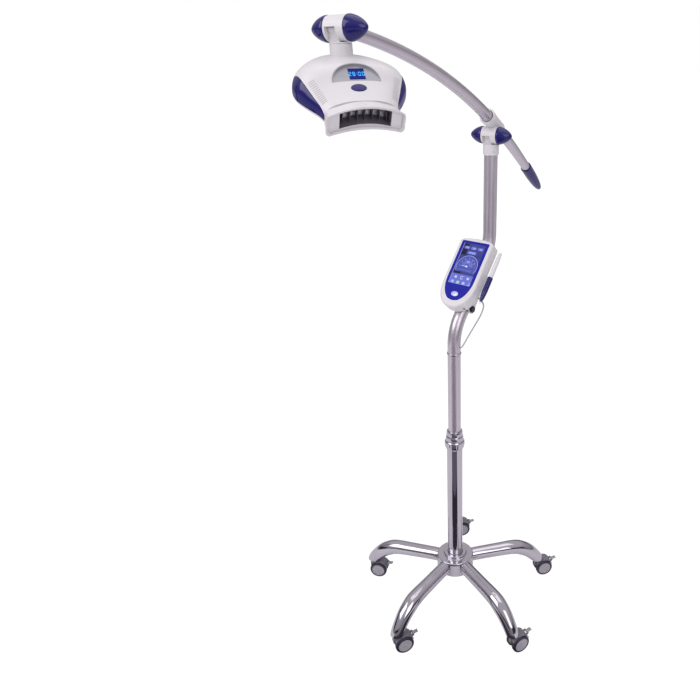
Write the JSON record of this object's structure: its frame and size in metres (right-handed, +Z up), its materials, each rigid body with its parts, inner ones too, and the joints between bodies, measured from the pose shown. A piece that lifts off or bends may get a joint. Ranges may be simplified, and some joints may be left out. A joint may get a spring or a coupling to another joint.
{
  "type": "teeth whitening lamp",
  "caption": "Floor-standing teeth whitening lamp: castored star base, telescopic column, tilted touch controller, and a curved arm with a swivelling, nodding LED head.",
  "frame": {"origin": "the point on the floor below the axis of the lower column, where the castors carry the lamp", "axes": "+Z up; +X to the right of someone who faces the controller; -Y is the side that the controller faces and the arm reaches over"},
  "size_m": [0.5342, 0.9853, 1.5009],
  "materials": {
    "chrome": "mirror-bright plated steel",
    "silver": "satin anodised",
    "white": "glossy moulded",
    "blue": "glossy moulded, deep ultramarine",
    "bezel_blue": "glossy moulded",
    "grey": "matt moulded",
    "light_grey": "matt moulded",
    "tread": "soft castor tread",
    "screen": "cover glass over a lit panel",
    "display": "liquid crystal panel",
    "board": "solder mask",
    "dark": "matt moulded",
    "lens": "clear moulded",
    "aluminium": "plain milled",
    "cable": "soft cord jacket"
  },
  "bodies": {
    "base": {"base_hub": "chrome", "leg_1": "chrome", "leg_2": "chrome", "leg_3": "chrome", "leg_4": "chrome", "leg_5": "chrome", "lower_tube": "chrome", "guide_bush": "grey"},
    "height_collar": {"lock_collar": "chrome"},
    "column": {"inner_tube": "silver", "joint_ring": "chrome"},
    "mast": {"mast_tube": "silver", "mast_bracket": "white", "rear_shell": "white", "front_shell": "white", "bezel": "bezel_blue", "touch_screen": "screen", "circuit_board": "board", "stylus_holder": "white", "signal_cable": "cable"},
    "bracket_screw": {"bracket_knob": "dark"},
    "pen": {"stylus": "blue"},
    "home_key": {"home_button": "aluminium"},
    "mast_head": {"mast_collar": "white"},
    "arm": {"arm_clamp": "white", "arm_tube": "silver", "arm_tip": "blue", "head_barrel": "white"},
    "mast_cap_left": {"mast_knob_left": "blue"},
    "mast_cap_right": {"mast_knob_right": "blue"},
    "head_cap_left": {"head_knob_left": "blue"},
    "head_cap_right": {"head_knob_right": "blue"},
    "neck": {"neck_yoke": "white"},
    "head": {"neck_collar": "white", "head_upper_shell": "white", "head_lower_shell": "white", "side_panels": "blue", "window_bezel": "light_grey", "timer_display": "display", "lamp_frame": "white", "led_board": "dark", "led_lenses": "lens", "heat_sink": "aluminium"},
    "start_key": {"start_button": "blue"},
    "fan": {"cooling_fan": "dark"},
    "castor_1": {"castor_body_1": "grey"},
    "wheels_1": {"castor_wheels_1": "tread"},
    "brake_1": {"castor_brake_1": "light_grey"},
    "castor_2": {"castor_body_2": "grey"},
    "wheels_2": {"castor_wheels_2": "tread"},
    "brake_2": {"castor_brake_2": "light_grey"},
    "castor_3": {"castor_body_3": "grey"},
    "wheels_3": {"castor_wheels_3": "tread"},
    "brake_3": {"castor_brake_3": "light_grey"},
    "castor_4": {"castor_body_4": "grey"},
    "wheels_4": {"castor_wheels_4": "tread"},
    "brake_4": {"castor_brake_4": "light_grey"},
    "castor_5": {"castor_body_5": "grey"},
    "wheels_5": {"castor_wheels_5": "tread"},
    "brake_5": {"castor_brake_5": "light_grey"}
  },
  "joints": [
    {"name": "collar_turn", "type": "hinge", "parent": "base", "child": "height_collar", "pos_m": [0, 0, 0.515], "axis": [0, 0, 1], "range_deg": [0, 90]},
    {"name": "column_height", "type": "slide", "parent": "base", "child": "column", "axis": [0, 0, 1], "range_m": [-0.18, 0.1]},
    {"name": "mast_swivel", "type": "hinge", "parent": "column", "child": "mast", "pos_m": [0, 0, 0.759], "axis": [0, 0, 1], "range_deg": [-180, 180]},
    {"name": "bracket_screw_turn", "type": "hinge", "parent": "mast", "child": "bracket_screw", "pos_m": [-0.006, 0.04228, 0.8658], "axis": [1, 0, 0], "continuous": true},
    {"name": "pen_slide", "type": "slide", "parent": "mast", "child": "pen", "axis": [0, -0.6639, -0.7478], "range_m": [0, 0.075]},
    {"name": "home_key_press", "type": "slide", "parent": "mast", "child": "home_key", "axis": [0, 0.7478, -0.6639], "range_m": [0, 0.0012], "stiffness_N_per_m": 150, "springref_m": -0.001},
    {"name": "arm_yaw", "type": "hinge", "parent": "mast", "child": "mast_head", "pos_m": [0, 0.15494, 1.2615], "axis": [0, 0, 1], "range_deg": [-120, 120]},
    {"name": "arm_tilt", "type": "hinge", "parent": "mast_head", "child": "arm", "pos_m": [0, 0.15494, 1.2615], "axis": [0.9936, 0.1132, 0], "range_deg": [-28, 30]},
    {"name": "mast_cap_left_turn", "type": "hinge", "parent": "arm", "child": "mast_cap_left", "pos_m": [0, 0.15494, 1.2615], "axis": [0.9936, 0.1132, 0], "continuous": true},
    {"name": "mast_cap_right_turn", "type": "hinge", "parent": "arm", "child": "mast_cap_right", "pos_m": [0, 0.15494, 1.2615], "axis": [0.9936, 0.1132, 0], "continuous": true},
    {"name": "head_cap_left_turn", "type": "hinge", "parent": "arm", "child": "head_cap_left", "pos_m": [0.06801, -0.39837, 1.4801], "axis": [0.9902, 0.1345, 0.0379], "continuous": true},
    {"name": "head_cap_right_turn", "type": "hinge", "parent": "arm", "child": "head_cap_right", "pos_m": [0.06801, -0.39837, 1.4801], "axis": [0.9902, 0.1345, 0.0379], "continuous": true},
    {"name": "neck_tilt", "type": "hinge", "parent": "arm", "child": "neck", "pos_m": [0.06801, -0.39837, 1.4801], "axis": [0.9902, 0.1345, 0.0379], "range_deg": [-40, 8]},
    {"name": "head_turn", "type": "hinge", "parent": "neck", "child": "head", "pos_m": [0.0689, -0.39875, 1.45802], "axis": [-0.0406, 0.0169, 0.999], "range_deg": [-138, 42]},
    {"name": "start_key_press", "type": "slide", "parent": "head", "child": "start_key", "axis": [-0.5935, 0.3917, -0.7031], "range_m": [0, 0.001], "stiffness_N_per_m": 150, "springref_m": -0.001},
    {"name": "fan_spin", "type": "hinge", "parent": "head", "child": "fan", "pos_m": [0.13649, -0.43886, 1.37685], "axis": [-0.7473, 0.4806, 0.459], "continuous": true},
    {"name": "castor_1_swivel", "type": "hinge", "parent": "base", "child": "castor_1", "pos_m": [-0.14472, 0.21056, 0.06], "axis": [0, 0, 1], "continuous": true},
    {"name": "castor_1_roll", "type": "hinge", "parent": "castor_1", "child": "wheels_1", "pos_m": [-0.13259, 0.22248, 0.0245], "axis": [0.7009, -0.7132, 0], "continuous": true},
    {"name": "castor_1_brake", "type": "hinge", "parent": "castor_1", "child": "brake_1", "pos_m": [-0.11408, 0.24067, 0.04072], "axis": [0.7009, -0.7132, 0], "range_deg": [-20, 0]},
    {"name": "castor_2_swivel", "type": "hinge", "parent": "base", "child": "castor_2", "pos_m": [-0.24498, -0.07257, 0.06], "axis": [0, 0, 1], "continuous": true},
    {"name": "castor_2_roll", "type": "hinge", "parent": "castor_2", "child": "wheels_2", "pos_m": [-0.22957, -0.06538, 0.0245], "axis": [0.4226, -0.9063, 0], "continuous": true},
    {"name": "castor_2_brake", "type": "hinge", "parent": "castor_2", "child": "brake_2", "pos_m": [-0.20605, -0.05441, 0.04072], "axis": [0.4226, -0.9063, 0], "range_deg": [-20, 0]},
    {"name": "castor_3_swivel", "type": "hinge", "parent": "base", "child": "castor_3", "pos_m": [-0.00669, -0.25541, 0.06], "axis": [0, 0, 1], "continuous": true},
    {"name": "castor_3_roll", "type": "hinge", "parent": "castor_3", "child": "wheels_3", "pos_m": [0.00219, -0.24092, 0.0245], "axis": [0.8526, -0.5225, 0], "continuous": true},
    {"name": "castor_3_brake", "type": "hinge", "parent": "castor_3", "child": "brake_3", "pos_m": [0.01575, -0.21879, 0.04072], "axis": [0.8526, -0.5225, 0], "range_deg": [-20, 0]},
    {"name": "castor_4_swivel", "type": "hinge", "parent": "base", "child": "castor_4", "pos_m": [0.24084, -0.08529, 0.06], "axis": [0, 0, 1], "continuous": true},
    {"name": "castor_4_roll", "type": "hinge", "parent": "castor_4", "child": "wheels_4", "pos_m": [0.24803, -0.06988, 0.0245], "axis": [0.9063, -0.4226, 0], "continuous": true},
    {"name": "castor_4_brake", "type": "hinge", "parent": "castor_4", "child": "brake_4", "pos_m": [0.259, -0.04636, 0.04072], "axis": [0.9063, -0.4226, 0], "range_deg": [-20, 0]},
    {"name": "castor_5_swivel", "type": "hinge", "parent": "base", "child": "castor_5", "pos_m": [0.15554, 0.2027, 0.06], "axis": [0, 0, 1], "continuous": true},
    {"name": "castor_5_roll", "type": "hinge", "parent": "castor_5", "child": "wheels_5", "pos_m": [0.16624, 0.21591, 0.0245], "axis": [0.7771, -0.6293, 0], "continuous": true},
    {"name": "castor_5_brake", "type": "hinge", "parent": "castor_5", "child": "brake_5", "pos_m": [0.18257, 0.23608, 0.04072], "axis": [0.7771, -0.6293, 0], "range_deg": [-20, 0]}
  ]
}
